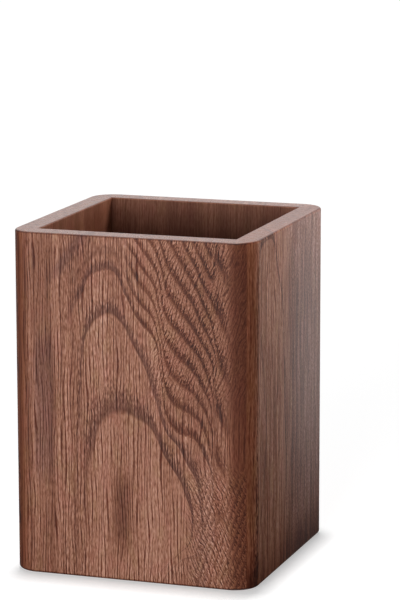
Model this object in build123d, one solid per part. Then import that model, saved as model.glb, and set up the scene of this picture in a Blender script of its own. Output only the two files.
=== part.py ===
from build123d import *
import math
import os

# Square desk pen cup in solid walnut, millimetres, +Z up.
# Origin: centre of the cup's footprint, on the surface that it stands on.
# The front board is on -Y and the right-hand board on +X.
#
# Four upright boards meet in full-height 45 degree mitres. The outside corners are rounded
# over after glue-up, so each board carries half of two corner rounds. A groove near the foot
# of every board takes the tongue of a loose base board, which is captive once the mitres are
# glued. Four round pads stuck under the base stand just proud of the boards, so the cup's
# weight goes from the boards to the tongue, and from the base to the pads.

# ---- Driving dimensions -------------------------------------------------------------------
CUP_WIDTH = 80.0          # outside, face to face, both ways
CUP_HEIGHT = 110.0        # from the desk to the rim
BOARD_THICKNESS = 7.5
CORNER_RADIUS = 8.0       # round-over of the four upright outside corners
RIM_ARRIS_OUTSIDE = 0.7   # sanded edge of the rim, outside
RIM_ARRIS_INSIDE = 0.5    # sanded edge of the rim, inside
FOOT_ARRIS = 1.0          # sanded edge round the foot of the boards

BASE_THICKNESS = 6.0
BASE_RECESS = 1.0         # underside of the base above the foot of the boards
BASE_SIDE_GAP = 0.15      # between the base and the inside faces
BASE_ARRIS = 0.3          # lightly broken top edge of the base

TONGUE_THICKNESS = 3.0
TONGUE_REACH = 3.0        # how far the tongue enters the groove
GROOVE_PLAY = 0.2         # below the tongue: the boards bear on the tongue's upper side
GROOVE_END_GAP = 0.4      # room for the base to swell across its grain

PAD_DIAMETER = 10.0
PAD_THICKNESS = 1.5
PAD_EDGE_BEVEL = 0.25
PAD_INSET = 16.0          # pad centre from the outside faces

# ---- Places worked out from them ----------------------------------------------------------
HALF_WIDTH = CUP_WIDTH / 2
HALF_WELL = HALF_WIDTH - BOARD_THICKNESS
ROUND_CENTRE = HALF_WIDTH - CORNER_RADIUS
MITRE_ON_ROUND = ROUND_CENTRE + CORNER_RADIUS * math.cos(math.radians(45))
ROUND_SAG = CORNER_RADIUS * math.sin(math.radians(22.5))
ROUND_REACH = CORNER_RADIUS * math.cos(math.radians(22.5))

FOOT_Z = PAD_THICKNESS - BASE_RECESS
BASE_UNDERSIDE_Z = FOOT_Z + BASE_RECESS
BOARD_HEIGHT = CUP_HEIGHT - FOOT_Z
TONGUE_Z = BASE_UNDERSIDE_Z + (BASE_THICKNESS - TONGUE_THICKNESS) / 2
HALF_BASE = HALF_WELL - BASE_SIDE_GAP
HALF_TONGUE = HALF_WELL + TONGUE_REACH

TOUCH = 1e-4              # how close an edge must lie to a plane to belong to it


def board_plan():
    """Plan of one board, on the -Y side: flat outside, half rounds, mitres and flat inside."""
    right_round = (
        (ROUND_CENTRE, -HALF_WIDTH),
        (ROUND_CENTRE + ROUND_SAG, -ROUND_CENTRE - ROUND_REACH),
        (MITRE_ON_ROUND, -MITRE_ON_ROUND),
    )
    left_round = [(-x, y) for x, y in reversed(right_round)]
    outline = [
        Line(left_round[-1], right_round[0]),
        ThreePointArc(*right_round),
        Line(right_round[-1], (HALF_WELL, -HALF_WELL)),
        Line((HALF_WELL, -HALF_WELL), (-HALF_WELL, -HALF_WELL)),
        Line((-HALF_WELL, -HALF_WELL), left_round[0]),
        ThreePointArc(*left_round),
    ]
    return make_face(outline)


def outside_edges(board, z):
    """Edges round the outside of the front board at height z: its flat and its two half rounds."""
    middle_of_board = -HALF_WIDTH + BOARD_THICKNESS / 2
    return [e for e in board.edges()
            if abs(e.center().Z - z) < TOUCH and e.center().Y < middle_of_board - TOUCH]


def inside_edge(board, z):
    """The edge along the inside face of the front board at height z."""
    return [e for e in board.edges()
            if abs(e.center().Z - z) < TOUCH and abs(e.center().Y + HALF_WELL) < TOUCH]


def wall_board():
    """The front board. The other three are the same board, turned about the cup's axis."""
    board = extrude(board_plan(), BOARD_HEIGHT).moved(Location((0, 0, FOOT_Z)))
    board = fillet(outside_edges(board, CUP_HEIGHT), RIM_ARRIS_OUTSIDE)
    board = fillet(inside_edge(board, CUP_HEIGHT), RIM_ARRIS_INSIDE)
    board = fillet(outside_edges(board, FOOT_Z), FOOT_ARRIS)

    groove_depth = TONGUE_REACH + GROOVE_END_GAP
    groove_width = TONGUE_THICKNESS + GROOVE_PLAY
    groove = Box(CUP_WIDTH, groove_depth, groove_width, align=(Align.CENTER, Align.MAX, Align.MIN))
    return board - groove.moved(Location((0, -HALF_WELL, TONGUE_Z - GROOVE_PLAY)))


def base_board():
    """The base, with a tongue worked all round its edge to enter the boards' grooves."""
    upright = (Align.CENTER, Align.CENTER, Align.MIN)
    panel = Box(2 * HALF_BASE, 2 * HALF_BASE, BASE_THICKNESS, align=upright)
    panel = chamfer(panel.faces().sort_by(Axis.Z)[-1].edges(), BASE_ARRIS)
    panel = panel.moved(Location((0, 0, BASE_UNDERSIDE_Z)))
    tongue = Box(2 * HALF_TONGUE, 2 * HALF_TONGUE, TONGUE_THICKNESS, align=upright)
    return panel + tongue.moved(Location((0, 0, TONGUE_Z)))


def foot_pad():
    """A die-cut non-slip disc, its edge on the desk side slightly bevelled."""
    disc = Cylinder(PAD_DIAMETER / 2, PAD_THICKNESS, align=(Align.CENTER, Align.CENTER, Align.MIN))
    return chamfer(disc.faces().sort_by(Axis.Z)[0].edges(), PAD_EDGE_BEVEL)


def all_pieces():
    """Every piece of the cup by name, where it sits in the finished object."""
    pieces = {}
    board = wall_board()
    for turn, side in enumerate(("front", "right", "back", "left")):
        pieces[side + "_board"] = board.rotate(Axis.Z, 90 * turn)
    pieces["base_board"] = base_board()
    pad = foot_pad()
    pad_place = HALF_WIDTH - PAD_INSET
    for depth, y in (("front", -pad_place), ("back", pad_place)):
        for side, x in (("left", -pad_place), ("right", pad_place)):
            pieces[f"foot_pad_{depth}_{side}"] = pad.moved(Location((x, y, 0)))
    return pieces


os.makedirs("parts", exist_ok=True)
for name, piece in all_pieces().items():
    export_step(piece, f"parts/{name}.step")
    print(f"{name}: {piece.volume:.0f} mm3, {len(piece.faces())} faces")
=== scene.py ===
# %% [markdown]
# # A walnut pen cup, finished and lit
#
# The cup is four upright walnut boards, mitred and glued round a captive base, on four small
# pads. Its shape comes ready from the packed model. This lesson gives it what a shape alone
# hasn't got: wood with arches, pores and silky strands, oiled end grain on the rim, rubber
# underneath, and the soft light of a product photograph.

# %% Load the packed model
import math
import bpy
from mathutils import Euler, Matrix, Vector


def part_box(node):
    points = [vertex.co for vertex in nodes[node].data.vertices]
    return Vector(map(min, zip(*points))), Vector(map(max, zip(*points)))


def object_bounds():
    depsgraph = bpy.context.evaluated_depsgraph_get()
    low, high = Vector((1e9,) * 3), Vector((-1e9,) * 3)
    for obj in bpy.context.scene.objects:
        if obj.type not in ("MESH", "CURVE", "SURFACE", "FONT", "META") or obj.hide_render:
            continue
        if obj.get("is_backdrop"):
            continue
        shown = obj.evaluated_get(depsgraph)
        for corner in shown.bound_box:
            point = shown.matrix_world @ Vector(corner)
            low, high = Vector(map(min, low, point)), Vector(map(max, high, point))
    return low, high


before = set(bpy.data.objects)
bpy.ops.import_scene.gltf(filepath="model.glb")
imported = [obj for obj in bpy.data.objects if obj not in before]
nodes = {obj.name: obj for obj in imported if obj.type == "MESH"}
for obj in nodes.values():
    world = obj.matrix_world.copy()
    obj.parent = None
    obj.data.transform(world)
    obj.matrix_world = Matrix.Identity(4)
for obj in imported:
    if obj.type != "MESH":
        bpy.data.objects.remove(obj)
CAD_LOW, CAD_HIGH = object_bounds()
MM = 0.001
print("pieces:", ", ".join(sorted(nodes)))

# %% [markdown]
# ## Measures read from the model
#
# The finish has to know where a board's outside face, inside face and rim are. Reading them
# from the model, rather than typing them again, means that the wood still fits if the cup is
# ever remade a little larger.

# %% Measures of the boards, in millimetres
board_low, board_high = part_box("front_board")
HALF_WIDTH = -board_low.y / MM
BOARD_THICKNESS = (board_high.y - board_low.y) / MM
RIM = board_high.z / MM
print(f"half width {HALF_WIDTH:.1f}, boards {BOARD_THICKNESS:.1f} thick, rim at {RIM:.1f} mm")

# %% [markdown]
# ## A shorthand for shader nodes
#
# A material is a small network: each node takes values in and hands one on. Built by hand in
# the editor, the network is dragged together; in a script it is easier to read as a recipe.
# `Recipe` adds a node for each call and returns what comes out of it, so that a finish reads
# from top to bottom. Its first steps are sums, points and ramps.

# %% Recipe: one call for each shader node
class Recipe:
    def __init__(self, tree):
        self.tree = tree

    def feed(self, socket, value):
        """Links what another node gives, or sets a plain value."""
        if isinstance(value, bpy.types.NodeSocket):
            self.tree.links.new(value, socket)
        elif value is not None:
            socket.default_value = value

    def put(self, kind, *values, **settings):
        """Adds a node, sets its own settings, and feeds its inputs in order."""
        node = self.tree.nodes.new(kind)
        for name, setting in settings.items():
            setattr(node, name, setting)
        for socket, value in zip(node.inputs, values):
            self.feed(socket, value)
        return node

    def feed_named(self, node, names, values):
        for name, value in zip(names, values):
            self.feed(node.inputs[name], value)
        return node.outputs

    def math(self, operation, *values, clamp=False):
        return self.put("ShaderNodeMath", *values, operation=operation, use_clamp=clamp).outputs[0]

    def chain(self, operation, first, *others):
        for other in others:
            first = self.math(operation, first, other)
        return first

    def plus(self, *values):
        return self.chain("ADD", *values)

    def times(self, *values):
        return self.chain("MULTIPLY", *values)

    def largest(self, *values):
        return self.chain("MAXIMUM", *values)

    def minus(self, a, b, clamp=False):
        return self.math("SUBTRACT", a, b, clamp=clamp)

    def away(self, value, middle):
        """How far value is from middle, either way."""
        return self.math("ABSOLUTE", self.minus(value, middle))

    def vector(self, operation, a, b):
        return self.put("ShaderNodeVectorMath", a, b, operation=operation).outputs[0]

    def apart(self, vector):
        return self.put("ShaderNodeSeparateXYZ", vector).outputs

    def point(self, x, y, z):
        return self.put("ShaderNodeCombineXYZ", x, y, z).outputs[0]

    def ramp(self, value, start, end, low=0.0, high=1.0, kind="SMOOTHSTEP"):
        """Goes softly from low to high while value goes from start to end."""
        node = self.put("ShaderNodeMapRange", interpolation_type=kind, clamp=True)
        names = ("Value", "From Min", "From Max", "To Min", "To Max")
        return self.feed_named(node, names, (value, start, end, low, high))["Result"]

    def scale(self, value, start, end, low=0.0, high=1.0):
        """The same in a straight line."""
        return self.ramp(value, start, end, low, high, kind="LINEAR")

    def window(self, value, start, full, still_full, end):
        """Nothing outside start and end, and one from full to still_full."""
        return self.times(self.ramp(value, start, full), self.ramp(value, end, still_full))


print("steps of a recipe:", ", ".join(step for step in vars(Recipe) if not step.startswith("_")))

# %% [markdown]
# ## Noise, chance and mixing
#
# No two fibres of a tree are alike, yet the finish has to come out the same each time that the
# script runs. Blender's noise textures do both: they look random, but always give the same
# value at the same place. These steps join the recipe: soft blotches, a slow drift to either
# side, a number drawn for each whole number, and mixes of two values or colours.

# %% Recipe: noise and mixing
class WoodRecipe(Recipe):
    def noise(self, place, size, detail=1.0, roughness=0.5, seed=0.0):
        """Soft blotches from 0 to 1, of the given size along each axis of place."""
        stretched = self.vector("DIVIDE", place, size)
        moved = self.vector("ADD", stretched, (seed * 7.3, seed * 3.1, seed * 5.7))
        node = self.put("ShaderNodeTexNoise", noise_dimensions="3D")
        names = ("Vector", "Scale", "Detail", "Roughness")
        return self.feed_named(node, names, (moved, 1.0, detail, roughness))["Fac"]

    def wander(self, place, size, reach, seed=0.0):
        """A slow drift, up to reach either way."""
        return self.scale(self.noise(place, size, seed=seed), 0.2, 0.8, -reach, reach)

    def chance(self, number):
        """A number from 0 to 1, drawn afresh for each whole number."""
        node = self.put("ShaderNodeTexWhiteNoise", noise_dimensions="1D")
        return self.feed_named(node, ["W"], [number])["Value"]

    def mix(self, share, a, b):
        node = self.put("ShaderNodeMix", data_type="FLOAT")
        return self.feed_named(node, ("Factor", "A", "B"), (share, a, b))["Result"]

    def tint(self, share, colour, by):
        """Multiplies a colour by another, or by a share of it."""
        node = self.put("ShaderNodeMix", data_type="RGBA", blend_type="MULTIPLY")
        for socket, value in zip((node.inputs[0], node.inputs[6], node.inputs[7]), (share, colour, by)):
            self.feed(socket, value)
        return node.outputs[2]

    def group(self, made, **values):
        """Places a node group, with values for its inputs by name."""
        node = self.put("ShaderNodeGroup", node_tree=made)
        for name, value in values.items():
            self.feed(node.inputs[name], value)
        return node.outputs


print("steps added:", ", ".join(step for step in vars(WoodRecipe) if not step.startswith("_")))

# %% [markdown]
# ## Node groups
#
# Fibre, rings and colour are wanted in every board. Their networks could be copied into each
# material, and would soon differ by accident. A node group is a network made once, with named
# inputs and outputs, that any material uses as one node with its own values, so an effect that
# is put right in its group is put right in all boards at once.

# %% Start and end of a group
NUMBER, VECTOR, COLOUR = "NodeSocketFloat", "NodeSocketVector", "NodeSocketColor"


def start_group(name, inputs, outputs):
    """A new shader node group with named sockets, its recipe, and what comes in by name."""
    tree = bpy.data.node_groups.new(name, "ShaderNodeTree")
    for label, kind, value in inputs:
        socket = tree.interface.new_socket(label, in_out="INPUT", socket_type=kind)
        if value is not None:
            socket.default_value = value
    for label, kind in outputs:
        tree.interface.new_socket(label, in_out="OUTPUT", socket_type=kind)
    recipe = WoodRecipe(tree)
    return tree, recipe, recipe.put("NodeGroupInput").outputs


def end_group(recipe, *results):
    recipe.put("NodeGroupOutput", *results)
    print(f"group {recipe.tree.name}: {len(recipe.tree.nodes)} nodes")


print("sockets of a group:", NUMBER, VECTOR, COLOUR)

# %% [markdown]
# ## Where a point lies in its board
#
# The four boards are one board turned about the cup's upright axis. An unwrapped map could say
# where a point lies on its face, but not how deep it is in the wood. Turning each point back
# gives every board the same three measures: *across* its face, *deep* from the outside face
# inwards, and *up* from the desk. The grain then runs through the wood, from the face over the
# rounded edge, and is written once, in millimetres of one board.

# %% Group: place in the board
place_group, r, given = start_group("place in the board", [("Turn", NUMBER, 0.0)], [("Place", VECTOR)])
turned = r.put("ShaderNodeVectorRotate", rotation_type="Z_AXIS")
here = r.put("ShaderNodeTexCoord").outputs["Object"]
turned = r.feed_named(turned, ("Vector", "Angle"), (here, given["Turn"]))["Vector"]
millimetres = r.vector("DIVIDE", turned, (MM, MM, MM))
end_group(r, r.vector("ADD", millimetres, (0.0, HALF_WIDTH, 0.0)))

# %% [markdown]
# ## Fibre: flecked strands and pore lines
#
# Cut along the trunk, walnut is an even brown with thin dark lines, about a millimetre apart,
# where the knife has opened the vessels end to end, and slightly paler fibre beside each line.
# A stretched noise alone gives only smears. So the lines come from counting across the board
# and keeping what is near a half. A soft noise pushes the count about, so that the lines
# wander, and the whole number gives each line a noise of its own that fades it in and out.
#
# Between the lines the wood shimmers in short flecks. They lie in strands a third of a
# millimetre wide, and each strand is shifted along by its own chance, or else the flecks would
# stand in rows like bricks. Where the tree grew curly, the fibre leans and breaks up into
# dashes, so the group takes a lean, a length for the lines and one for the flecks.

# %% Group: fibre
STRAND_WIDTH = 0.36
FAINT_SHARE = 0.5
LINE_EDGE, LINE_FADING = (0.2, 0.05), (0.32, 0.62)
PALE_MIDDLE, PALE_SIDES = 0.34, (0.16, 0.02)
fibre_group, r, given = start_group(
    "fibre",
    [("Place", VECTOR, None), ("Lean", NUMBER, 0.0), ("Length", NUMBER, 16.0), ("Fleck", NUMBER, 1.9),
     ("Seed", NUMBER, 0.0)],
    [("Strands", NUMBER), ("Lines", NUMBER)])
across, deep, up = r.apart(given["Place"])
cosine = r.math("COSINE", given["Lean"])
sine = r.math("SINE", given["Lean"])
beside = r.minus(r.times(across, cosine), r.times(up, sine))
along = r.plus(r.times(across, sine), r.times(up, cosine))
seeded = r.plus(beside, given["Seed"])
own_shift = r.chance(r.math("FLOOR", r.math("DIVIDE", seeded, STRAND_WIDTH)))
fleck_place = r.point(seeded, deep, r.plus(r.math("DIVIDE", along, given["Fleck"]), own_shift))
drawn_out = r.math("DIVIDE", along, given["Length"])
line_place = r.point(seeded, deep, drawn_out)


def pore_lines(spacing, fade_length, faintest, seed):
    """Thin dark lines, each fading in and out along its way, and the pale fibre beside them."""
    push = r.wander(line_place, (3.5, 3.5, 1.8), 0.9, seed=seed)
    count = r.plus(r.math("DIVIDE", beside, spacing), push)
    number = r.math("FLOOR", count)
    from_half = r.away(r.minus(count, number), 0.5)
    own_way = r.point(r.times(number, 3.7), 0.0, drawn_out)
    fading = r.noise(own_way, (1.0, 1.0, fade_length), detail=0.0, seed=seed + 1.0)
    fading = r.ramp(fading, *LINE_FADING, faintest, 1.0)
    pale = r.ramp(r.away(from_half, PALE_MIDDLE), *PALE_SIDES)
    return r.times(r.ramp(from_half, *LINE_EDGE), fading), r.times(pale, fading)


dark, dark_pale = pore_lines(spacing=1.1, fade_length=0.6, faintest=0.2, seed=1.0)
faint, faint_pale = pore_lines(spacing=0.83, fade_length=0.42, faintest=0.0, seed=3.0)
lines = r.largest(dark, r.times(faint, FAINT_SHARE))
pale_fibre = r.scale(r.largest(dark_pale, r.times(faint_pale, FAINT_SHARE)), 0.0, 1.0, -0.3, 0.5)
flecks = r.noise(fleck_place, (STRAND_WIDTH, STRAND_WIDTH, 1.0), roughness=0.6)
flecks = r.scale(flecks, 0.34, 0.66, -0.7, 0.7)
end_group(r, r.plus(flecks, pale_fibre), lines)

# %% [markdown]
# ## Growth rings as dark bands
#
# Each year ends in a line of dense dark latewood. The line is sharp on the side of the tree's
# heart, with a thin pale edge before it, and fades outwards, where the fibre draws it out in
# teeth. A wave texture would give bands that are alike on both sides. So the group takes a
# ring count, whole numbers at the lines, and gives back how dark the band is at that part of
# the year. A chance drawn for the whole number makes some years stronger than others.

# %% Group: latewood
SHARP_SIDE, SOFT_SIDE_START, PALE_SIDE = 0.07, 0.3, (0.92, 0.99)
WEAKEST_YEAR = 0.8
latewood_group, r, given = start_group(
    "latewood",
    [("Rings", NUMBER, 0.0), ("Fade", NUMBER, 0.45), ("Teeth", NUMBER, 0.0), ("Seed", NUMBER, 0.0)],
    [("Band", NUMBER), ("Pale edge", NUMBER)])
year = r.math("FLOOR", given["Rings"])
part_of_year = r.minus(given["Rings"], year)
rise = r.ramp(part_of_year, 0.0, SHARP_SIDE)
toothed = r.plus(part_of_year, r.times(given["Teeth"], given["Fade"]))
fall = r.ramp(toothed, r.times(given["Fade"], SOFT_SIDE_START), given["Fade"], 1.0, 0.0)
strength = r.scale(r.chance(r.plus(year, given["Seed"])), 0.0, 1.0, WEAKEST_YEAR, 1.0)
end_group(r, r.times(rise, fall, strength), r.ramp(part_of_year, *PALE_SIDE))

# %% [markdown]
# ## Arches on a board sawn beside the heart
#
# A trunk is a stack of long, slim cones, one inside the other. A board sawn off beside the
# heart cuts them into pointed arches, which stand one above the other in the middle and run
# down as nearly straight lines at the sides. They could be drawn by hand, but cones cost one
# square root: the ring that a point belongs to follows from how far it is from the heart's
# line, and from its height times the trunk's taper. Two noises push the rings about: no tree
# grows evenly.

# %% Group: arches
SWAY_PATCH, SWAY = (28.0, 28.0, 60.0), 5.0
UNEVEN_PATCH, UNEVEN_YEARS = (10.0, 10.0, 55.0), 0.35
DEPTH_SHARE = 0.9
arches_group, r, given = start_group(
    "arches",
    [("Place", VECTOR, None), ("Heart", NUMBER, 0.0), ("Lean", NUMBER, 0.0), ("Behind", NUMBER, 8.0),
     ("Taper", NUMBER, 0.11), ("Year", NUMBER, 4.0), ("Seed", NUMBER, 0.0)],
    [("Rings", NUMBER)])
across, deep, up = r.apart(given["Place"])
seeded = r.vector("ADD", given["Place"], r.point(given["Seed"], given["Seed"], given["Seed"]))
sway = r.wander(seeded, SWAY_PATCH, SWAY)
uneven = r.wander(seeded, UNEVEN_PATCH, UNEVEN_YEARS, seed=2.0)
heart_line = r.plus(given["Heart"], r.times(up, given["Lean"]))
aside = r.plus(r.minus(across, heart_line), sway)
behind = r.plus(given["Behind"], r.times(deep, DEPTH_SHARE))
distance = r.math("SQRT", r.plus(r.times(aside, aside), r.times(behind, behind)))
distance = r.plus(distance, r.times(up, given["Taper"]))
end_group(r, r.plus(r.math("DIVIDE", distance, given["Year"]), uneven))

# %% [markdown]
# ## From tone to walnut colour
#
# Walnut isn't one brown. Its dark parts are a deep red brown, its fibre a warm tan, and
# patches a few millimetres wide drift towards olive or rose. A colour ramp turns a tone from 0,
# dark, to 1, pale, into colour, but would tint all effects alike. So each effect then tints
# the colour in its own way: latewood bands go grey and violet, dark strands redden as they
# darken, pore lines go nearly black, and warmth takes the blue out, as in the painted shade
# on the rounds.

# %% Group: walnut colour
def colours(r, value, stops):
    """A colour ramp through stops, each a position and a colour."""
    node = r.put("ShaderNodeValToRGB", value)
    band = node.color_ramp
    while len(band.elements) < len(stops):
        band.elements.new(0.5)
    for element, (position, colour) in zip(band.elements, stops):
        element.position = position
        element.color = (*colour, 1.0)
    return node.outputs["Color"]


WALNUT = [(0.0, (0.050, 0.013, 0.007)), (0.25, (0.130, 0.042, 0.023)), (0.5, (0.236, 0.093, 0.054)),
          (0.75, (0.358, 0.163, 0.104)), (1.0, (0.510, 0.272, 0.194))]
OLIVE, ROSE = (0.95, 1.05, 0.90, 1.0), (1.05, 0.95, 1.02, 1.0)
LATEWOOD, WARM, PORE = (0.80, 0.88, 1.12, 1.0), (1.0, 0.88, 0.76, 1.0), (0.26, 0.095, 0.045, 1.0)
DRIFT_PATCH = (4.0, 4.0, 9.0)
OLIVE_SHARE, ROSE_SHARE, LATEWOOD_SHARE = 0.5, 0.5, 0.6
DARKEST_STRAND, PALEST_STRAND = 0.45, 1.55
colour_group, r, given = start_group(
    "walnut colour",
    [("Place", VECTOR, None), ("Tone", NUMBER, 0.5), ("Band", NUMBER, 0.0), ("Strands", NUMBER, 0.0),
     ("Lines", NUMBER, 0.0), ("Warmth", NUMBER, 0.0)],
    [("Colour", COLOUR)])
walnut = colours(r, given["Tone"], WALNUT)
drift = r.noise(given["Place"], DRIFT_PATCH, seed=1.0)
walnut = r.tint(r.times(r.ramp(drift, 0.54, 0.7), OLIVE_SHARE), walnut, OLIVE)
walnut = r.tint(r.times(r.ramp(drift, 0.46, 0.32), ROSE_SHARE), walnut, ROSE)
walnut = r.tint(r.times(given["Band"], LATEWOOD_SHARE), walnut, LATEWOOD)
walnut = r.tint(given["Warmth"], walnut, WARM)
light = r.scale(given["Strands"], -1.0, 1.0, DARKEST_STRAND, PALEST_STRAND)
redder = r.point(light, r.math("POWER", light, 1.4), r.math("POWER", light, 1.7))
walnut = r.tint(1.0, walnut, redder)
walnut = r.tint(given["Lines"], walnut, PORE)
end_group(r, walnut)

# %% [markdown]
# ## The faces of a board that aren't its outside
#
# The rim is end grain: no streaks, only the cut ends of the vessels. The inside faces are
# darkened with painted shade, for the shade inside the cup. Just under the rim the outside is
# made a little paler with painted light, and the rounded edge itself, the arris, is darkened with
# painted shade. All four are told apart by where the point is and which way the surface faces,
# not painted by hand.

# %% Group: cut faces
END_GRAIN_TILT, ARRIS_TILT = (0.55, 0.9), (0.1, 0.4, 0.75, 0.92)
INSIDE_SKIN = (BOARD_THICKNESS - 0.35, BOARD_THICKNESS - 0.1)
UNDER_RIM = (RIM - 6.0, RIM - 1.0)
faces_group, r, given = start_group(
    "cut faces", [("Place", VECTOR, None)],
    [("End grain", NUMBER), ("Inside", NUMBER), ("Painted rim light", NUMBER), ("Arris shade", NUMBER)])
across, deep, up = r.apart(given["Place"])
facing = r.put("ShaderNodeNewGeometry").outputs["Normal"]
tilt = r.math("ABSOLUTE", r.apart(facing)[2])
end_grain = r.ramp(tilt, *END_GRAIN_TILT)
inside = r.ramp(deep, *INSIDE_SKIN)
# Painted light: the outside just under the rim is made paler.
painted_rim_light = r.times(r.ramp(up, *UNDER_RIM), r.minus(1.0, end_grain, clamp=True))
# Painted shade: the arris is darkened.
arris = r.times(r.window(tilt, *ARRIS_TILT), r.minus(1.0, inside))
end_group(r, end_grain, inside, painted_rim_light, arris)

# %% [markdown]
# ## Fibre for a board
#
# Most of a board has straight fibre. Where the tree grew round a branch, the fibre leans and
# is curly, and shows as short bold dashes. Bending the place itself would stretch the lines
# and smear them, so `fibre_at` places the fibre group once for the upright grain and once for
# each curly patch, and mixes them by where the patch lies.

# %% Materials and their fibre
CURLY_LENGTH, CURLY_FLECK = 4.2, 0.9
CURLY_LINES = 0.8


def new_material(name):
    """An empty material with one Principled shader, and the recipe that feeds it."""
    material = bpy.data.materials.new(name)
    material.use_nodes = True
    tree = material.node_tree
    tree.nodes.clear()
    shader = tree.nodes.new("ShaderNodeBsdfPrincipled")
    tree.links.new(shader.outputs[0], tree.nodes.new("ShaderNodeOutputMaterial").inputs[0])
    return material, WoodRecipe(tree), shader


def fibre_at(r, place, curly_patches, seed, coarseness=1.0):
    """Upright fibre, with curly patches (lean in radians, where, how bold) laid over it."""
    place = r.vector("DIVIDE", place, (coarseness, coarseness, 1.0))
    straight = r.group(fibre_group, Place=place, Seed=seed)
    strands, lines = straight["Strands"], straight["Lines"]
    for lean, where, bold in curly_patches:
        curly = r.group(fibre_group, Place=place, Lean=lean, Length=CURLY_LENGTH, Fleck=CURLY_FLECK,
                        Seed=seed)
        strands = r.mix(where, strands, r.times(curly["Strands"], bold))
        lines = r.mix(where, lines, r.times(curly["Lines"], CURLY_LINES))
    return strands, lines


print(f"curly lines are drawn out {CURLY_LENGTH} times, curly flecks are {CURLY_FLECK} mm long")

# %% [markdown]
# ## How light the wood is
#
# Before it has a colour, each point has a tone. A board's own tone comes first, then broad
# streaks, growth rings, and painted light that makes the outside paler near the rim. The
# rounded corners are darkened with painted shade, as are the arris and the inside faces. The end
# grain has a tone of its own, pebbled by the cut vessels. Adding tones, rather than layering
# finished colours, keeps one palette however many effects meet at a point.

# %% Tone of a board
ROUND_START, ROUND_FULL, LEFT_ROUND_WIDTH = 31.0, 35.0, 5.5
BAND_TONE, PALE_EDGE_TONE, RIM_LIGHT_TONE, ROUND_SHADE_TONE = -0.48, 0.06, 0.08, 0.36
END_BAND_TONE, ARRIS_SHADE_TONE, INSIDE_SHADE_TONE = 0.12, 0.3, 0.3


def corner_round_shade(r, across, left_start, left_shade):
    """How far a point is into either rounded corner, which is also how much painted shade it gets."""
    right = r.ramp(across, ROUND_START, ROUND_FULL)
    return r.plus(right, r.ramp(across, -left_start, -left_start - LEFT_ROUND_WIDTH, 0.0, left_shade))


def board_tone(r, tone, streaks, faces, band, pale_edge, rounds, grain):
    """The board's own tone, changed by all that lies on it."""
    painted_rim_light = (faces["Painted rim light"], RIM_LIGHT_TONE)
    for effect, strength in (streaks, (band, BAND_TONE), (pale_edge, PALE_EDGE_TONE), painted_rim_light):
        tone = r.plus(tone, r.times(effect, strength))
    # Painted shade: the rounded corners are darkened.
    tone = r.minus(tone, r.times(rounds, ROUND_SHADE_TONE))
    end_tone = r.minus(r.scale(grain, 0.3, 0.7, 0.04, 0.54), r.times(band, END_BAND_TONE))
    tone = r.mix(faces["End grain"], tone, end_tone)
    # Painted shade on the arris, then on the inside faces.
    tone = r.minus(tone, r.times(faces["Arris shade"], ARRIS_SHADE_TONE))
    # Painted shade: the inside faces are darkened.
    return r.minus(tone, r.times(faces["Inside"], INSIDE_SHADE_TONE), clamp=True)


print(f"corner rounds darken from {ROUND_START} to {ROUND_FULL} mm off the middle")

# %% [markdown]
# ## How the surface feels
#
# Sanded and oiled walnut is silky, not glossy. Pale strands are a little smoother than dark
# ones, the pore lines are fine grooves, and the rounds are duller. Oil lies on the end grain
# and, on some boards, on the long grain as a thin coat that catches the light of the room.
# The grooves are far too fine for real geometry, so a bump node tilts the light on them.

# %% Surface of a board
GROOVE_DEPTH = 0.03
END_GRAIN_COAT, COAT_ROUGHNESS = 0.4, 0.45
SMOOTH_STRANDS, DULL_STRANDS, ROUND_DULLNESS = 0.44, 0.58, 0.2


def board_surface(r, shader, strands, lines, grain, end_grain, rounds, coat, gloss):
    """Roughness, fine grooves and the oil's coat."""
    roughness = r.scale(strands, -1.0, 1.0, DULL_STRANDS, SMOOTH_STRANDS)
    roughness = r.plus(roughness, r.times(rounds, ROUND_DULLNESS))
    roughness = r.mix(end_grain, roughness, r.ramp(grain, 0.3, 0.7, 0.36, 0.24))
    height = r.mix(end_grain, r.minus(strands, r.times(lines, 2.0)), grain)
    bump = r.put("ShaderNodeBump")
    grooves = r.feed_named(bump, ("Strength", "Distance", "Height"), (1.0, GROOVE_DEPTH * MM, height))
    coat = r.largest(coat, r.times(end_grain, END_GRAIN_COAT))
    r.feed_named(shader, ("Roughness", "Normal", "Coat Weight"), (roughness, grooves["Normal"], coat))
    shader.inputs["Specular IOR Level"].default_value = gloss
    shader.inputs["Coat Roughness"].default_value = COAT_ROUGHNESS


print(f"grooves {GROOVE_DEPTH} mm deep, coat roughness {COAT_ROUGHNESS}")

# %% [markdown]
# ## One walnut finish, four boards
#
# The boards and the base share a finish and differ in their figure. `finish_board` takes the
# fibre, the ring count and the tone that a board supplies, and does the rest, so that a better
# idea for the finish is written once. A board may also tint its bands warm instead of cool,
# add a dusky patch, or start its left-hand round elsewhere.

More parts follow.
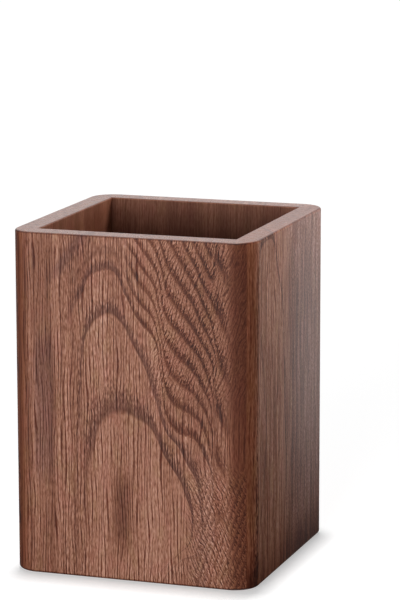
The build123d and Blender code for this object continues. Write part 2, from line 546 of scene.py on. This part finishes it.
# %% Walnut for a board, round its own fibre, rings and tone
def finish_board(r, shader, place, fibre, rings, tone, seed, fade=0.45, figure=1.0, bite=0.5,
                 more_bands=0.0, streaks=0.06, streak_size=(6.0, 6.0, 40.0), dusk=0.0, cool=1.0, warm=0.0,
                 left_start=ROUND_START, left_shade=1.0, gloss=0.2, oil=0.0):
    """Feeds the shader. fade is how wide a band is, figure how bold, and bite how far strands
    cut teeth into it. dusk, cool and warm tint the wood, and oil coats the long grain."""
    strands, lines = fibre
    faces = r.group(faces_group, Place=place)
    outside = r.minus(1.0, faces["Inside"])
    rounds = corner_round_shade(r, r.apart(place)[0], left_start, left_shade)

    teeth = r.times(strands, bite)
    latewood = r.group(latewood_group, Rings=rings, Fade=fade, Teeth=teeth, Seed=seed)
    figure = r.times(outside, figure)
    band, pale_edge = (r.times(latewood[name], figure) for name in ("Band", "Pale edge"))
    band = r.largest(band, r.times(outside, more_bands))
    broad = r.ramp(r.noise(place, streak_size, seed=seed + 6.0), 0.3, 0.7, -1.0, 1.0)
    broad = r.times(broad, r.ramp(rounds, 0.0, 1.0, 1.0, 0.3))
    grain = r.noise(place, (0.8, 2.2, 0.5), detail=2.0, roughness=0.7, seed=seed + 9.0)
    tone = board_tone(r, tone, (broad, streaks), faces, band, pale_edge, rounds, grain)

    long_grain = r.times(r.minus(1.0, faces["End grain"]), r.ramp(outside, 0.0, 1.0, 0.35, 1.0))
    long_grain = r.times(long_grain, r.ramp(rounds, 0.0, 1.0, 1.0, 0.6))
    strands, lines = (r.times(effect, long_grain) for effect in (strands, lines))
    cool_bands = r.largest(r.times(band, cool), r.times(outside, dusk))
    # Warmth on the rounds is part of their painted shade.
    warmth = r.largest(rounds, r.times(outside, warm), r.times(band, r.minus(1.0, cool)))
    colour = r.group(colour_group, Place=place, Tone=tone, Band=cool_bands, Strands=strands,
                     Lines=lines, Warmth=warmth)["Colour"]
    r.feed(shader.inputs["Base Color"], colour)
    coat = r.times(oil, long_grain)
    board_surface(r, shader, strands, lines, grain, faces["End grain"], rounds, coat, gloss)
    print(f"a walnut finish of {len(r.tree.nodes)} nodes")


print("finish ready for", ", ".join(sorted(name for name in nodes if name.endswith("board"))))

# %% [markdown]
# ## The front board: three nested arches
#
# The board that faces the desk's user has the finest figure: three arches one above the other
# round a dark heart, and to their right a fan of curly bands. The arches group could make
# arches like these, but not these ones. So they are drawn: each line gives a ring's height
# above the desk for each place across the board, and between two lines the rings are shared
# out evenly. Deeper in the wood the arches stand three millimetres higher for each one, a
# drift pushes the lines about, and near the foot the right-hand legs curl in.

# %% Front board: lines and rings
DRAWN_HALF_WIDTH, DRAWN_TOP = 40.0, 140.0
OFF_FOOT = -40.0
DRAWN_SPAN = (-DRAWN_HALF_WIDTH, DRAWN_HALF_WIDTH, OFF_FOOT, DRAWN_TOP)
LOW_ARCH = [(-40, OFF_FOOT), (-16.2, OFF_FOOT), (-15.2, 4), (-14.3, 27), (-12.6, 39), (-10.5, 47),
            (-8, 51), (-1.7, 54), (3, 52.5), (6.7, 50.3), (10, 45.5), (14.2, 38), (18.3, 30),
            (20.3, 20), (21, OFF_FOOT)]
MIDDLE_ARCH = [(-40, OFF_FOOT + 1), (-19, OFF_FOOT), (-17, 35), (-15.6, 62), (-14.8, 75), (-13, 80.5),
               (-10, 83.7), (-6.5, 85.4), (-3.5, 84), (0, 79), (3, 73.3), (9, 58), (12, 50),
               (18.3, 42), (22.3, 32), (23.4, 14), (24.5, OFF_FOOT)]
HIGH_ARCH = [(-40, OFF_FOOT + 2), (-25, OFF_FOOT + 2), (-21.5, 74), (-18.6, 86), (-15, 92),
             (-12.8, 96.6), (-10, 98.6), (-6.7, 99.4), (-4, 98.2), (-1.3, 92.5), (3.3, 83.8), (8.3, 78),
             (10.4, 68), (13, 52.5), (23.3, 46), (27, 36), (28.5, OFF_FOOT)]
FAN_EDGE = [(-40, 110), (-20, 132), (-8, 139), (5, 128), (19, 107), (25, 95), (29.7, 85.3), (33, 77),
            (40, 54)]
FAN_RINGS = 8.0
HEIGHT_PER_DEPTH = 3.0


def drawn_line(r, value, points, start, end, low, high):
    """A line drawn through points (x, y), for x from start to end and y from low to high."""
    node = r.put("ShaderNodeFloatCurve", 1.0, r.scale(value, start, end))
    line = node.mapping.curves[0]
    while len(line.points) < len(points):
        line.points.new(0.5, 0.5)
    for dot, (x, y) in zip(line.points, points):
        dot.location = ((x - start) / (end - start), (y - low) / (high - low))
        dot.handle_type = "AUTO_CLAMPED"
    node.mapping.update()
    return r.scale(node.outputs[0], 0.0, 1.0, low, high)


front, r, shader = new_material("walnut front")
place = r.group(place_group, Turn=0.0)["Place"]
across, deep, up = r.apart(place)
height = r.minus(up, r.times(deep, HEIGHT_PER_DEPTH))
curl = r.times(r.ramp(up, 18.0, -2.0, 0.0, 14.0), r.ramp(across, 24.0, 17.0, 0.25, 1.0),
               r.ramp(across, 0.0, 8.0))
column = r.plus(across, r.wander(place, (9.0, 9.0, 16.0), 0.9), curl)
low, middle, high, edge = (drawn_line(r, column, line, *DRAWN_SPAN)
                           for line in (LOW_ARCH, MIDDLE_ARCH, HIGH_ARCH, FAN_EDGE))
rings = r.plus(r.scale(height, low, middle), r.scale(height, middle, high))
above = r.math("DIVIDE", r.minus(height, high), r.minus(edge, high))
above = r.times(r.largest(above, 0.0), r.ramp(across, -24.0, -16.0))
rings = r.plus(rings, r.times(above, FAN_RINGS))
in_fan = r.ramp(rings, 1.95, 2.05)
drawn_points = len(LOW_ARCH + MIDDLE_ARCH + HIGH_ARCH)
print(f"three arches from {drawn_points} points, and a fan of {FAN_RINGS:.0f} rings")

# %% [markdown]
# ## Fibre that leans
#
# Right of the arches the trunk bulged. There the fibre leans to the right above and to the
# left below, and bold short dashes show in place of long lines. The strands also draw the
# rings out into teeth, a little under the arches and more in the fan. In the lower right the
# curly grain shows as bands that cross the fibre: the latewood group makes them as well, from
# rows counted across the board.

# %% Front board: fibre
LEAN_ABOVE, LEAN_BELOW = math.radians(17.0), math.radians(-24.0)
upper_right = r.times(r.ramp(across, 3.0, 12.0), r.ramp(up, 52.0, 66.0))
lower_right = r.times(r.ramp(across, 16.0, 23.0), r.ramp(up, 46.0, 32.0))
fibre = fibre_at(r, place, [(LEAN_ABOVE, upper_right, 1.15), (LEAN_BELOW, lower_right, 1.3)], 0.0)
strands = fibre[0]
rings = r.plus(rings, r.times(strands, r.mix(in_fan, 0.015, 0.14)))
cross_rows = r.minus(r.times(across, 0.56), r.times(up, 0.18))
cross_rows = r.plus(cross_rows, r.times(strands, 0.3))
cross_bands = r.group(latewood_group, Rings=cross_rows, Fade=0.7, Seed=3.0)["Band"]
cross_bands = r.times(cross_bands, r.times(r.ramp(across, 19.0, 24.0), r.ramp(up, 44.0, 30.0)), 0.7)
leans = [round(math.degrees(lean)) for lean in (LEAN_ABOVE, LEAN_BELOW)]
print(f"fibre leans {leans[0]} degrees above and {leans[1]} degrees below")

# %% [markdown]
# ## How bold each band is
#
# A drawn ring isn't equally dark all along. A painted mask could say where it is faint; soft
# ramps across and up the board, in millimetres, do it with nothing to keep beside the script.
# Each factor makes the bands as bold or as faint as the real board's: bold where the fan
# starts, faint at the arches' left legs, in the lower corner on the right, and at the fan's
# ends. `fade` says how wide a band is, as a share of its year.

# %% Front board: strength of the bands
crown_fade = r.ramp(rings, 0.95, 1.05, 0.38, 0.45)
arch_fade = r.ramp(r.away(across, -4.0), 5.0, 11.0, crown_fade, 0.55)
arch_fade = r.plus(arch_fade, r.ramp(across, 8.0, 14.0, 0.0, 0.2))
fade = r.mix(in_fan, arch_fade, r.ramp(across, -6.0, 2.0, 0.9, 0.6))
fan = r.times(r.ramp(across, -23.0, -16.5, 0.0, 0.7), r.ramp(across, 34.0, 29.5),
              r.ramp(across, -5.0, 3.0, 1.0, 1.6))
first_years = r.largest(r.ramp(across, -4.0, 2.0), r.ramp(rings, 3.0, 2.6, 0.4, 1.0))
arches = r.largest(r.ramp(rings, 0.95, 1.05, 0.8, 1.0), r.ramp(across, 4.0, 12.0, 0.8, 1.2))
left_legs = r.ramp(across, -20.0, -13.0, 0.6, 1.0)
lowest_leg = r.times(r.ramp(across, -10.0, -13.0), r.ramp(up, 50.0, 36.0))
right_foot = r.largest(r.ramp(across, 27.0, 21.0), r.ramp(up, 10.0, 24.0))
foot = r.largest(r.ramp(across, 5.0, 2.0), r.ramp(up, 8.0, 20.0, 0.45, 1.0))
lower_fan = r.largest(r.ramp(across, 12.0, 8.0), r.ramp(up, 56.0, 64.0, 0.85, 1.0))
figure = r.mix(in_fan, arches, r.times(fan, first_years))
figure = r.times(figure, left_legs, right_foot, foot, r.ramp(lowest_leg, 0.0, 1.0, 1.0, 0.4), lower_fan)
print(f"front figure so far: {len(r.tree.nodes)} nodes")

# %% [markdown]
# ## Heart, streaks and shade
#
# The last things are slow changes of tone: the dark heart low in the middle, upright streaks
# left of the arches, a dusky patch among them and another at the high arch's left shoulder, a
# paler corner of wood at the foot on the right, and painted shade that darkens the board towards
# its right-hand rounded corner. Each could be a ring of its own; kept apart from the rings, they
# can lie across them, as they do in the wood.

# %% Front board: tone and finish
LEFT_STREAKS = [(-40, 0), (-36, 0), (-35, -0.03), (-34.1, -0.26), (-33.2, -0.04), (-31.6, -0.02),
                (-30.7, -0.18), (-29.9, -0.05), (-29.1, -0.18), (-28.2, -0.07), (-26.2, -0.2),
                (-25, -0.02), (-23.3, 0.06), (-22.2, -0.14), (-21.3, 0.05), (-19.4, 0.02),
                (-18.5, -0.14), (-17.6, -0.04), (-15.5, -0.05), (-14, 0)]
STREAKS_SPAN = (-40.0, -14.0, -0.3, 0.1)
UNDER_ARCHES, IN_FAN = 0.75, 0.70
heart = r.times(r.ramp(r.away(across, -2.3), 4.5, 0.5), r.window(up, 6.0, 18.0, 28.0, 40.0))
swaying = r.plus(across, r.wander(place, (14.0, 14.0, 30.0), 1.5, seed=4.0))
left_streaks = drawn_line(r, swaying, LEFT_STREAKS, *STREAKS_SPAN)
left_patch = r.times(r.window(across, -32.5, -30.5, -26.5, -24.0), r.window(up, 26.0, 40.0, 70.0, 84.0))
from_shoulder = r.minus(r.plus(across, 20.0), r.times(r.minus(up, 103.0), 0.7))
shoulder = r.ramp(r.math("ABSOLUTE", r.plus(from_shoulder, strands)), 3.0, 0.8)
shoulder = r.times(shoulder, r.ramp(up, 93.0, 100.0))
dusk = r.largest(left_patch, shoulder)
beside_arches = r.window(across, -24.0, -20.0, -15.0, -11.0)
# Painted shade by the right-hand rounded corner, above the middle.
painted_corner_shade = r.times(r.ramp(across, 15.0, 25.0), r.ramp(up, 46.0, 62.0))
tone = r.plus(r.ramp(rings, 1.9, 2.1, UNDER_ARCHES, IN_FAN), left_streaks)
# Painted shade: darker towards the right-hand rounded corner.
tone = r.minus(tone, r.ramp(across, 4.0, 26.0, 0.0, 0.105))
for patch, strength in ((heart, -0.38), (dusk, -0.08), (lower_right, 0.11), (shoulder, -0.08),
                        (beside_arches, -0.06), (painted_corner_shade, -0.085)):
    tone = r.plus(tone, r.times(patch, strength))
finish_board(r, shader, place, fibre, rings, tone, 0.0, fade=fade, figure=figure,
             bite=r.mix(in_fan, 0.35, 0.15), more_bands=cross_bands, dusk=dusk,
             cool=r.mix(in_fan, 1.0, r.ramp(across, 4.0, -3.0)), left_start=33.0, left_shade=1.55)

# %% [markdown]
# ## The right-hand board
#
# It shows one narrow arch near its front edge, with a slim leaf inside it, and straight grain
# beyond. The arch is drawn, as on the front, and the straight rings are a plain count across
# the board. Its rear half is curlier and has more oil on it, which gives part of the soft sheen
# that the side shows; the rest is painted sheen, a greyer and paler tint towards the rear. The
# fibre is a little coarser than on the front. Painted light makes the board paler just under the
# rim, and painted shade darkens it towards the foot.

# %% Right board
RIGHT_ARCH = [(-40, OFF_FOOT), (-34, OFF_FOOT), (-33, 60), (-31.5, 104), (-28, 107.6), (-23, 108.5),
              (-18, 106.5), (-15, 101), (-12, 94), (-9.3, 88), (-8, 78), (-7, 62), (-5.5, 45), (-4.2, 25),
              (-3, OFF_FOOT)]
RIGHT_SECOND = [(-40, OFF_FOOT + 1), (-38, 60), (-35, 108), (-30, 116), (-20, 116), (-14, 106),
                (-10, 97), (-6.5, 88), (-4.8, 76), (-4, 60), (-3, 45), (-1.6, 28), (-0.3, OFF_FOOT + 1)]
SIDE_RINGS = 9.0
SIDE_SEED = 11.0
right, r, shader = new_material("walnut right")
place = r.group(place_group, Turn=-math.radians(90.0))["Place"]
across, deep, up = r.apart(place)
rear_half = r.ramp(across, -12.0, 0.0, 0.0, 0.8)
fibre = fibre_at(r, place, [(0.0, rear_half, 1.1)], SIDE_SEED, coarseness=1.3)
column = r.plus(across, r.wander(place, (8.0, 8.0, 16.0), 1.0, seed=SIDE_SEED))
height = r.minus(up, r.times(deep, HEIGHT_PER_DEPTH))
first, second = (drawn_line(r, column, line, *DRAWN_SPAN) for line in (RIGHT_ARCH, RIGHT_SECOND))
rings = r.plus(r.scale(height, first, second), r.scale(column, 2.0, 38.0, 0.0, SIDE_RINGS))
rings = r.plus(rings, r.times(fibre[0], r.ramp(rings, 0.9, 1.1, 0.02, 0.1)))
bow = r.math("DIVIDE", r.minus(up, 50.0), 12.5)
from_leaf = r.math("ABSOLUTE", r.plus(column, 25.7, r.times(bow, bow)))
leaf = r.times(r.ramp(from_leaf, 1.4, 0.3), r.ramp(across, -32.0, -29.0, 0.0, 0.6))
figure = r.times(r.ramp(across, -4.0, 4.0, 1.2, 0.5), r.ramp(across, -37.0, -33.0))
# Paler towards the rear, as painted sheen, and just under the rim, as painted light.
tone = r.plus(r.ramp(across, -14.0, 0.0, 0.77, 0.63), r.ramp(across, 8.0, 34.0, 0.0, 0.12),
              r.ramp(up, 88.0, 104.0, 0.0, 0.08))
# Painted shade: darker towards the foot.
tone = r.minus(tone, r.ramp(up, 16.0, 0.0, 0.0, 0.44))
finish_board(r, shader, place, fibre, rings, tone, SIDE_SEED, fade=r.ramp(rings, 0.95, 1.05, 0.5, 0.75),
             figure=figure, more_bands=leaf, streaks=0.21, streak_size=(1.9, 1.9, 22.0),
             # Here dusk is partly painted sheen: a greyer tint towards the rear.
             dusk=r.ramp(across, -10.0, 10.0), warm=r.ramp(across, -4.0, -14.0, 0.0, 0.5),
             gloss=0.1, oil=r.ramp(across, -22.0, 24.0, 0.05, 0.65))

# %% [markdown]
# ## Back and left boards
#
# These two come from the same plank, and nobody glues four identical boards round a cup. The
# arches group gives each of them arches of its own: the heart lies elsewhere, leans the other
# way, or is further behind the board, and the seed moves all noises on.

# %% Back and left boards
def plain_sawn(name, quarter_turns, heart, lean, behind, seed):
    material, r, shader = new_material(name)
    place = r.group(place_group, Turn=-math.radians(90.0 * quarter_turns))["Place"]
    rings = r.group(arches_group, Place=place, Heart=heart, Lean=lean, Behind=behind, Seed=seed)["Rings"]
    fibre = fibre_at(r, place, [], seed)
    rings = r.plus(rings, r.times(fibre[0], 0.06))
    finish_board(r, shader, place, fibre, rings, 0.68, seed, bite=0.3, figure=0.8, streaks=0.09)
    return material


back = plain_sawn("walnut back", 2, heart=4.0, lean=0.05, behind=7.0, seed=23.0)
left = plain_sawn("walnut left", 3, heart=-9.0, lean=-0.06, behind=11.0, seed=37.0)

# %% [markdown]
# ## Base board
#
# The base lies flat, so its grain runs across the cup, and only its top and underside ever
# show. It could have a grain of its own, but swapping the axes lays the same board down, so
# the finish is used again. Its tone is darker than the boards'.

# %% Base board
def millimetres_of(r):
    """Where a point is in the cup, in millimetres."""
    return r.vector("DIVIDE", r.put("ShaderNodeTexCoord").outputs["Object"], (MM, MM, MM))


BASE_SEED, BASE_TONE = 51.0, 0.52
base, r, shader = new_material("walnut base")
x, y, z = r.apart(millimetres_of(r))
place = r.point(y, z, x)
rings = r.group(arches_group, Place=place, Heart=14.0, Lean=0.03, Behind=9.0, Taper=0.06,
                Seed=BASE_SEED)["Rings"]
finish_board(r, shader, place, fibre_at(r, place, [], BASE_SEED), rings, BASE_TONE, BASE_SEED)

# %% [markdown]
# ## Rubber pads
#
# The pads are die-cut rubber: matt, nearly black, with a fine pebble from the mould and a
# little dust. The pebble is too fine for a mesh, so one noise makes it, for roughness and bump
# alike, and a coarser one lays the dust.

# %% Pad rubber
PEBBLE, DUST = 0.25, 1.6
PEBBLE_DEPTH = 0.05
RUBBER = [(0.35, (0.016, 0.016, 0.017)), (0.75, (0.045, 0.043, 0.04))]
rubber, r, shader = new_material("pad rubber")
here = millimetres_of(r)
pebble = r.noise(here, (PEBBLE, PEBBLE, PEBBLE), detail=2.0)
dust = r.noise(here, (DUST, DUST, DUST), detail=3.0, seed=2.0)
bump = r.put("ShaderNodeBump")
raised = r.feed_named(bump, ("Distance", "Height"), (PEBBLE_DEPTH * MM, pebble))["Normal"]
r.feed_named(shader, ("Base Color", "Roughness", "Normal"),
             (colours(r, dust, RUBBER), r.ramp(pebble, 0.3, 0.7, 0.62, 0.82), raised))
print(f"pebble of {PEBBLE} mm, dust in patches of {DUST} mm")

# %% [markdown]
# ## Each piece gets its material
#
# The packed pieces come with a plain colour each. Only their material slot is changed: their
# shape and place stay the model's own. What isn't a board is a pad.

# %% Give each piece its material
finishes = {"front_board": front, "right_board": right, "back_board": back, "left_board": left,
            "base_board": base}
for name, node in nodes.items():
    node.data.materials.clear()
    node.data.materials.append(finishes.get(name, rubber))
    print(name, "->", node.data.materials[0].name)

# %% [markdown]
# ## Floor
#
# A catalogue photograph has no horizon: the white goes on for ever and only a soft shadow ties
# the cup to it. The floor gives off part of that white itself and adds the lamps' light, so
# that the shadow stays; further out it gives off all of it. In reflections it is dim close to
# the cup and white further away, and it throws little light back on the wood, as a floor cut
# out of the picture would. From below it can't be seen, and beneath the cup it lets the light
# of a lamp under the floor through, so that the underside isn't black in a view from below.

# %% Floor mesh and shader helpers
FLOOR_HALF = 6.0


def floor_mesh(half):
    mesh = bpy.data.meshes.new("floor")
    corners = [(-half, -half, 0), (half, -half, 0), (half, half, 0), (-half, half, 0)]
    mesh.from_pydata(corners, [], [(0, 1, 2, 3)])
    floor = bpy.data.objects.new("floor", mesh)
    bpy.context.scene.collection.objects.link(floor)
    return floor


def glow(r, strength):
    return r.put("ShaderNodeEmission", (1.0, 1.0, 1.0, 1.0), strength).outputs[0]


def choose(r, share, a, b):
    return r.put("ShaderNodeMixShader", share, a, b).outputs[0]


def mirrored(r, rays):
    """One for light that reaches the camera by a reflection or through glass."""
    return r.largest(rays["Is Glossy Ray"], rays["Is Transmission Ray"])


floor = floor_mesh(FLOOR_HALF)
floor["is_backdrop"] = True
print(f"floor: {2 * FLOOR_HALF:.0f} m square")

# %% [markdown]
# ## Paper for the floor
#
# Real studio paper can't be white to the camera and dim to the wood at once. A shader can: it
# is chosen by the kind of ray. What the camera sees, what a reflection sees and what bounced
# light sees are three different floors, and Light Path tells them apart.

# %% Floor paper
PAPER, DIM_PAPER = (0.66, 0.66, 0.66, 1.0), (0.1, 0.1, 0.1, 1.0)
NEAR_GLOW, FAR_GLOW = 0.44, 1.03
NEAR_TO_FAR = (0.15, 0.6)
GLOSS_NEAR_TO_FAR, GLOSS_GLOW = (0.05, 0.36), (0.05, 1.0)
EDGE_OF_SHADE = 1.0
paper = bpy.data.materials.new("paper floor")
paper.use_nodes = True
paper.node_tree.nodes.clear()
r = WoodRecipe(paper.node_tree)
rays = r.put("ShaderNodeLightPath").outputs
geometry = r.put("ShaderNodeNewGeometry").outputs
from_cup = r.put("ShaderNodeVectorMath", geometry["Position"], operation="LENGTH").outputs["Value"]
matt = r.put("ShaderNodeBsdfDiffuse", PAPER).outputs[0]
dim = r.put("ShaderNodeBsdfDiffuse", DIM_PAPER).outputs[0]
near_cup = r.put("ShaderNodeAddShader", glow(r, NEAR_GLOW), matt).outputs[0]
for_camera = choose(r, r.ramp(from_cup, *NEAR_TO_FAR), near_cup, glow(r, FAR_GLOW))
for_gloss = glow(r, r.ramp(from_cup, *GLOSS_NEAR_TO_FAR, *GLOSS_GLOW))
shown = choose(r, rays["Is Camera Ray"], choose(r, mirrored(r, rays), dim, for_gloss), for_camera)
x, y, _ = r.apart(geometry["Position"])
off_middle = r.largest(r.math("ABSOLUTE", x), r.math("ABSOLUTE", y))
beneath = r.ramp(off_middle, HALF_WIDTH * MM, (HALF_WIDTH - EDGE_OF_SHADE) * MM)
let_through = r.largest(geometry["Backfacing"], r.times(beneath, rays["Is Shadow Ray"]))
clear = r.put("ShaderNodeBsdfTransparent").outputs[0]
r.put("ShaderNodeOutputMaterial", choose(r, let_through, shown, clear))
floor.data.materials.append(paper)
print(f"paper: {len(r.tree.nodes)} nodes")

# %% [markdown]
# ## World
#
# The world is white to the eye and in reflections, but lights the cup only faintly. A bright
# world would light it from all sides at once and wash the rounded corners flat.

# %% World
ROOM_LIGHT, ROOM_SEEN = 0.08, 1.0
world = bpy.data.worlds.new("studio")
bpy.context.scene.world = world
world.use_nodes = True
world.node_tree.nodes.clear()
r = WoodRecipe(world.node_tree)
rays = r.put("ShaderNodeLightPath").outputs
seen = r.largest(rays["Is Camera Ray"], mirrored(r, rays))
brightness = r.scale(seen, 0.0, 1.0, ROOM_LIGHT, ROOM_SEEN)
room = r.put("ShaderNodeBackground", (1.0, 1.0, 1.0, 1.0), brightness).outputs[0]
r.put("ShaderNodeOutputWorld", room)
print(f"world: {ROOM_LIGHT} as light, {ROOM_SEEN} as seen")

# %% [markdown]
# ## Lamps
#
# Five soft boxes light the cup. The box straight in front lights the front board evenly and
# leaves the rounded corner on the right in a dark gap. The box above, slightly behind, lights
# the rim and draws the soft shadow round the foot. A small side box rakes the right-hand board
# and a fill box reaches the left and back; both light the cup alone and leave no mirror image,
# so that the floor keeps one clean shadow. The box below, under the floor, is for the
# underside.

# %% Lamps
def soft_box(name, place, aim, size, energy):
    data = bpy.data.lights.new(name, "AREA")
    data.shape = "RECTANGLE"
    data.size, data.size_y = size
    data.energy = energy
    lamp = bpy.data.objects.new(name, data)
    lamp.location = place
    lamp.rotation_euler = (Vector(aim) - Vector(place)).to_track_quat("-Z", "Y").to_euler()
    lamp.visible_camera = False
    bpy.context.scene.collection.objects.link(lamp)
    print(f"{name}: {energy} W at {tuple(round(c, 2) for c in place)} m")
    return lamp


CUP_MIDDLE = (0.0, 0.0, CAD_HIGH.z / 2)
soft_box("front box", (0.0, -0.86, 0.14), CUP_MIDDLE, (0.4, 0.3), 6.4)
side_box = soft_box("side box", (0.14, 0.11, 0.23), (0.04, 0.03, 0.23), (0.10, 0.10), 0.46)
soft_box("box above", (-0.05, 0.11, 3.0), (-0.05, 0.11, 0.0), (0.17, 0.30), 67.0)
fill_box = soft_box("fill box", (-0.50, 0.80, 0.10), CUP_MIDDLE, (0.3, 0.3), 3.0)
soft_box("box below", (0.0, 0.0, -0.40), (0.0, 0.0, 0.0), (0.05, 0.05), 0.5)
cup = bpy.data.collections.new("cup")
for node in nodes.values():
    cup.objects.link(node)
for lamp in (side_box, fill_box):
    lamp.light_linking.receiver_collection = cup
    lamp.visible_glossy = False

# %% [markdown]
# ## Camera
#
# The view is from a little right of the front and eleven degrees above the desk, through a
# long lens, so that the upright edges stay nearly parallel. It could be set by eye. These
# numbers come from fitting a pinhole camera to the cup's own edges, so that picture and
# photograph can be laid over each other.

# %% Camera
CAMERA_PLACE = (308.62 * MM, -870.17 * MM, 262.05 * MM)
CAMERA_TURN, CAMERA_DIP, CAMERA_ROLL = (math.radians(a) for a in (18.96, 10.97, -0.12))
LENS, SENSOR = 175.7, 36.0
camera_data = bpy.data.cameras.new("camera")
camera_data.lens = LENS
camera_data.sensor_width = SENSOR
camera_data.clip_start, camera_data.clip_end = 0.05, 30.0
camera = bpy.data.objects.new("camera", camera_data)
aimed = Euler((math.pi / 2 - CAMERA_DIP, 0.0, CAMERA_TURN)).to_matrix()
aimed = aimed @ Matrix.Rotation(CAMERA_ROLL, 3, "Z")
camera.matrix_world = Matrix.Translation(CAMERA_PLACE) @ aimed.to_4x4()
bpy.context.scene.collection.objects.link(camera)
bpy.context.scene.camera = camera
bpy.context.scene.view_settings.view_transform = "Standard"
print(f"camera {Vector(CAMERA_PLACE).length:.2f} m from the cup's foot, lens {LENS} mm")

# %% [markdown]
# ## Size after the finish
#
# The finish must not have changed the cup's size, so its box is measured again and printed.

# %% Measure the box again
low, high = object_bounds()
print("visual box, mm:", [round((b - a) / MM, 2) for a, b in zip(low, high)])
